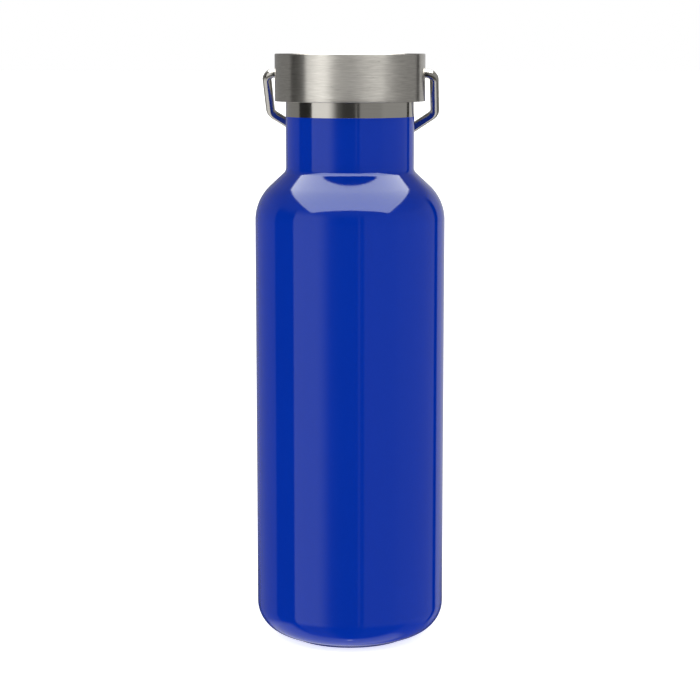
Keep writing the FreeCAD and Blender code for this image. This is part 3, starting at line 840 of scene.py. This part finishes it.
# %% [markdown]
# ## Three kinds of steel
# Stainless steel is one colour, a warm grey, and its look is all in the surface. The neck band is buffed
# bright: reflections stay sharp, with faint turning lines. The lid is brushed round its axis: each fine
# groove throws light up and down but not sideways, so reflections smear into upright bands. The shader's
# anisotropy does that smear, and drawn-out noise gives the grooves themselves. The wire is drawn through a
# die and polished, so its lines run along it.

# %% Bright steel
STEEL_TONE = colour(203, 200, 193)
STEEL_DARK = colour(186, 182, 174)


def make_bright_steel():
    """Smooth metal: fine turning lines and a wider smear move its roughness a little."""
    steel = Finish("bright_steel", Metallic=1.0)
    lines = steel.round_lines(9, 14)
    smear = steel.noise(steel.place, 1/(9*MM), 3.0)
    steel.feed("Base Color", steel.blend(lines, STEEL_DARK, STEEL_TONE))
    steel.feed("Roughness", 0.07 + lines*0.06 + smear*0.05)
    steel.relief(lines, 0.0012*MM)
    return steel.material


bright_steel = make_bright_steel()
print("made", bright_steel.name)

# %% Brushed steel
BRUSHED_DARK = colour(168, 164, 157)


def make_brushed_steel():
    """Anisotropic metal: the mean of fine and coarse round lines sets tone, roughness and relief."""
    steel = Finish("brushed_steel", Metallic=1.0, Anisotropic=0.95, Anisotropic_Rotation=0.25)
    fine = steel.round_lines(7, 3.5)
    coarse = steel.round_lines(3, 6)
    lines = steel.ramp(fine*0.5 + coarse*0.5, 0.32, 0.68, "LINEAR")
    steel.feed("Base Color", steel.blend(lines, BRUSHED_DARK, STEEL_TONE))
    steel.feed("Roughness", 0.27 + lines*0.07)
    steel.relief(lines, 0.003*MM)
    return steel.material


brushed_steel = make_brushed_steel()
print("made", brushed_steel.name)

# %% Drawn wire
def make_wire_steel():
    """Noise on the wire's own attribute, fine round it and long along it, gives lines that follow it."""
    steel = Finish("polished_wire", Metallic=1.0)
    place = steel.node("ShaderNodeAttribute", {"attribute_name": "round_and_along"}, None, "Vector")
    x, y, along = steel.parts(place)
    drawn = steel.noise(steel.vector(x*9.0, y*9.0, along*0.25), 1.0, 3.0, 0.6)
    smear = steel.noise(steel.place, 1/(5*MM))
    steel.feed("Base Color", steel.blend(drawn, STEEL_DARK, STEEL_TONE))
    steel.feed("Roughness", 0.14 + drawn*0.08 + smear*0.05)
    steel.relief(drawn, 0.003*MM)
    return steel.material


wire_steel = make_wire_steel()
print("made", wire_steel.name)

# %% [markdown]
# ## Moulded and hidden materials
# The screw body is grey polypropylene with the faint grain of its mould. The ring is milky silicone. The
# pieces in the vacuum and inside the plug never show, but a cut-away or an exploded view would show them.

# %% Plastic, silicone and the hidden materials
def grained(name, first, second, lump, low, high, depth, **constants):
    """A surface with one noise: it mixes two tones, moves roughness from low to high, and is relief."""
    finish = Finish(name, **constants)
    grain = finish.noise(finish.place, 1/lump, 3.0)
    finish.feed("Base Color", finish.blend(grain, first, second))
    finish.feed("Roughness", low + grain*(high - low))
    finish.relief(grain, depth)
    print("made", name)
    return finish.material


plastic = grained("grey_polypropylene", colour(58, 58, 60), colour(70, 70, 72),
                  0.3*MM, 0.35, 0.55, 0.006*MM)
silicone = grained("milky_silicone", colour(214, 212, 205), colour(226, 224, 218),
                   0.8*MM, 0.35, 0.5, 0.01*MM, IOR=1.41)
foam = grained("white_foam", colour(222, 218, 204), colour(238, 235, 224),
               0.6*MM, 0.8, 1.0, 0.1*MM)
copper = grained("copper_wrap", colour(206, 120, 84), colour(226, 148, 110),
                 2*MM, 0.15, 0.35, 0.02*MM, Metallic=1.0)
pellet = grained("getter_pellet", colour(72, 70, 68), colour(104, 100, 96),
                 0.2*MM, 0.6, 0.9, 0.03*MM, Metallic=0.6)
solder = grained("glass_solder", colour(96, 104, 92), colour(120, 128, 112),
                 0.7*MM, 0.05, 0.15, 0.01*MM)

# %% [markdown]
# ## Finishes on their pieces
# The flask is painted up to the neck band, and bare above it and inside. Its paint could be a mask in one
# shader, but the edge is a real step in the surface, so whole faces take one material or the other.

# %% Give every piece its finish
def finish_with(piece, *materials):
    """Fill a piece's material slots, the first for all faces."""
    piece.data.materials.clear()
    for material in materials:
        piece.data.materials.append(material)


def bare_above(piece, height):
    """Give the faces above a height, and all that face the vacuum, the second material.

    A face looks inward if its normal points towards the middle of the flask's axis. The foot ring's
    inner side and the dimple's wall do too, but they are outside, so they keep their paint.
    """
    mesh = piece.data
    centre = np.empty(len(mesh.polygons)*3)
    normal = np.empty(len(mesh.polygons)*3)
    mesh.polygons.foreach_get("center", centre)
    mesh.polygons.foreach_get("normal", normal)
    centre = centre.reshape(-1, 3)
    normal = normal.reshape(-1, 3)
    r = np.hypot(centre[:, 0], centre[:, 1])
    inward = ((centre - [0, 0, SHOULDER_FOOT/2])*normal).sum(1) < 0
    recess = (r < FOOT_RADIUS - FOOT_WIDTH) & (centre[:, 2] < DIMPLE_TOP + 1*MM)
    bare = (centre[:, 2] > height) | (inward & ~recess)
    mesh.polygons.foreach_set("material_index", bare.astype(np.int32))
    print(f"{bare.sum()} bare faces of {len(bare)} on {piece.name}")


finish_with(flask, enamel, bright_steel)
bare_above(flask, PAINT_TOP)
finish_with(liner, bright_steel)
finish_with(base_disc, brushed_steel)
finish_with(cup, brushed_steel)
finish_with(handle, wire_steel)
finish_with(screw_body, plastic)
finish_with(plug_cover, plastic)
finish_with(seal_ring, silicone)
for node, material in {"copper_foil": copper, "getter": pellet, "getter_clip": bright_steel,
                       "seal_bead": solder, "lid_insulation": foam}.items():
    finish_with(frame["nodes"][node], material)

# %% [markdown]
# ## The studio
# Gloss and steel show the room more than themselves, so the light is the other half of these finishes. The
# room is drawn in the world shader as a function of direction. A big panel hangs over and in front of the
# bottle, a tall soft light stands to the left, black flags stand beside it, and the rest is grey card.
# Angles are measured from the side that faces the viewer, and grow to the right.

# %% Where the viewer stands
VIEW_TURN = math.radians(4)
VIEW_DISTANCE = 0.760
VIEW_HEIGHT = 0.2256
VIEW_PITCH = 0.1474
VIEW_LENS = 101.4
toward_viewer = (math.sin(VIEW_TURN), -math.cos(VIEW_TURN), 0)
to_the_right = (math.cos(VIEW_TURN), math.sin(VIEW_TURN), 0)
print(f"the viewer looks down by {math.degrees(VIEW_PITCH):.1f} degrees")

# %% Directions in the room
world = bpy.data.worlds.new("studio")
world.use_nodes = True
bpy.context.scene.world = world
room = Graph(world.node_tree)
room.tree.nodes.clear()
direction = room.node("ShaderNodeTexCoord", None, None, "Generated")


def along_axis(axis):
    """How far a direction points along an axis: their dot product."""
    dot = {"operation": "DOT_PRODUCT"}
    return room.node("ShaderNodeVectorMath", dot, {0: direction, 1: axis}, "Value")


right = along_axis(to_the_right)
front = along_axis(toward_viewer)
up = along_axis((0, 0, 1))
azimuth = right.math("ARCTAN2", front)*(180/math.pi)
print(f"the directions take {len(room.tree.nodes)} nodes")

# %% Lights, flags and cards round the bottle
ROOM_BANDS = (                         # from, to, how soft each edge is, brightness
    (-181, -103, 1.0, 1.0, 0.3),       # grey card behind on the left
    (-103, -72, 1.0, 1.0, 0.03),       # black flag
    (-72, -32, 1.0, 11, 0.95),         # tall soft light
    (-72, -22, 1.0, 14, 0.2),          # its wider glow
    (-40, 17, 10, 1, 0.055),           # dark card in front
    (10, 12, 1, 1, 0.3),               # thin gleam on it
    (17, 59, 1, 4, 0.34),              # grey card in front on the right
    (59, 124, 4, 1.5, 0.4),            # lighter card on the right
    (133, 181, 1.5, 1.0, 0.6))         # light card behind on the right


def band(low, high, soft_low, soft_high):
    """1 between two azimuths in degrees, with soft edges."""
    rise = room.ramp(azimuth, low - soft_low, low + soft_low)
    return rise - room.ramp(azimuth, high - soft_high, high + soft_high)


bands = [band(*edges)*brightness for *edges, brightness in ROOM_BANDS]
light = sum(bands[1:], start=bands[0])
print(f"{len(bands)} bands of light round the bottle")

# %% The table, and the floor beyond it
TABLE_LIGHT = 0.75
TABLE_SHADE = 0.2
FAR_DIMMING = 0.9
FRONT_DIMMING = 0.8
table = room.fall(right, -0.1, 0.25).math("MAXIMUM", room.fall(up, -0.88, -0.78))
below = room.fall(up, -0.6, -0.45)*room.fall(front, 0.0, 0.2)
low_front = room.fall(up, -0.6, -0.4)*room.ramp(front, 0.0, 0.2)
far_floor = room.fall(up, -0.3, -0.2)*room.ramp(azimuth.math("ABSOLUTE"), 140, 160)
light = light*(1.0 - far_floor*FAR_DIMMING)*(1.0 - low_front*FRONT_DIMMING)
light = light*(1.0 - below) + below*(table*TABLE_LIGHT + TABLE_SHADE)
print(f"with the table and the floor, {len(room.tree.nodes)} nodes")

# %% [markdown]
# The panel is flat and level, so its edges are found where a direction meets the panel's height: how far
# ahead and how far aside it gets for each unit up. The front edge bows a little, and the sides flare.

# %% The panel overhead
LEAST_UP = 0.02
PANEL_FRONT = 1.37
PANEL_BACK = -0.86
PANEL_SIDE = 1.09
PANEL_BOW = 0.02
PANEL_FLARE = 0.41
PANEL_EDGE = 0.03
PANEL_LIGHT = 7.0
level = up.math("MAXIMUM", LEAST_UP)
ahead = front/level
aside = (right/level).math("ABSOLUTE")
bowed = ahead + aside*aside*PANEL_BOW
before_front = room.fall(bowed, PANEL_FRONT - PANEL_EDGE, PANEL_FRONT + PANEL_EDGE)
past_back = room.ramp(ahead, PANEL_BACK - PANEL_EDGE, PANEL_BACK + PANEL_EDGE)
within_side = room.fall(aside - ahead*PANEL_FLARE, PANEL_SIDE - PANEL_EDGE, PANEL_SIDE + PANEL_EDGE)
panel = before_front*past_back*within_side
print(f"the panel is {PANEL_LIGHT:.0f} times as bright as white card")

# %% The whole room, and what stands behind the bottle
CEILING_LIGHT = 0.25
BACKDROP = 1.0
ceiling = room.ramp(up, 0.25, 0.5)
seen = room.node("ShaderNodeLightPath", None, None, "Is Camera Ray")
total = light*(1.0 - ceiling) + ceiling*CEILING_LIGHT
total = total*(1.0 - panel) + panel*PANEL_LIGHT
total = total*(1.0 - seen) + seen*BACKDROP
surface = room.node("ShaderNodeBackground", None, {"Color": (1, 1, 1, 1), "Strength": total})
room.node("ShaderNodeOutputWorld", None, {"Surface": surface})
world.cycles_visibility.diffuse = False
print(f"the room takes {len(room.tree.nodes)} nodes")

# %% [markdown]
# ## Even light and a white floor
# The room above shows only in reflections. The paint's own colour is lit by three wide suns, which leave
# no hard shadow, and the floor gives back a little light from below. Neither shows in a reflection, so the
# two kinds of light can be set apart from each other.

# %% The floor
HALF_FLOOR = 30.0
FLOOR_WHITE = 0.9
FLOOR_GLOW = 0.75
floor_mesh = bpy.data.meshes.new("floor")
floor_mesh.from_pydata([(-HALF_FLOOR, -HALF_FLOOR, 0), (HALF_FLOOR, -HALF_FLOOR, 0),
                        (HALF_FLOOR, HALF_FLOOR, 0), (-HALF_FLOOR, HALF_FLOOR, 0)], [], [(0, 1, 2, 3)])
floor = bpy.data.objects.new("floor", floor_mesh)
bpy.context.scene.collection.objects.link(floor)
floor_finish = Finish("white_floor", Roughness=0.8, Specular_IOR_Level=0.0,
                      Base_Color=(FLOOR_WHITE, FLOOR_WHITE, FLOOR_WHITE, 1),
                      Emission_Color=(1, 1, 1, 1), Emission_Strength=FLOOR_GLOW)
finish_with(floor, floor_finish.material)
floor.visible_glossy = False
print(f"the floor is {2*HALF_FLOOR:.0f} m across")

# %% Three wide suns
SUN_HEIGHT = math.radians(36.5)
SUN_WIDTH = math.radians(50)
for place, turn, strength in (("left", -60, 1.65), ("right", 60, 1.6), ("behind", 180, 1.0)):
    sun_data = bpy.data.lights.new("sun_" + place, "SUN")
    sun_data.energy = strength
    sun_data.angle = SUN_WIDTH
    sun = bpy.data.objects.new("sun_" + place, sun_data)
    sun.rotation_euler = (math.pi/2 - SUN_HEIGHT, 0, VIEW_TURN + math.radians(turn))
    sun.visible_glossy = False
    bpy.context.scene.collection.objects.link(sun)
    print(f"sun {place}: strength {strength}")

# %% [markdown]
# ## The camera
# The camera stands level with the lid and looks down at the bottle's middle. Its lens is long, as for
# most pictures of products, so the sides stay nearly upright, and the lid's flat top is seen edge on.

# %% The camera
camera_data = bpy.data.cameras.new("camera")
camera_data.sensor_width = 36
camera_data.lens = VIEW_LENS
camera = bpy.data.objects.new("camera", camera_data)
camera.location = (VIEW_DISTANCE*toward_viewer[0], VIEW_DISTANCE*toward_viewer[1], VIEW_HEIGHT)
camera.rotation_euler = (math.pi/2 - VIEW_PITCH, 0, VIEW_TURN)
bpy.context.scene.collection.objects.link(camera)
bpy.context.scene.camera = camera
bpy.context.scene.view_settings.view_transform = "Standard"
print(f"the camera is {VIEW_DISTANCE/MM:.0f} mm away with a {VIEW_LENS} mm lens")
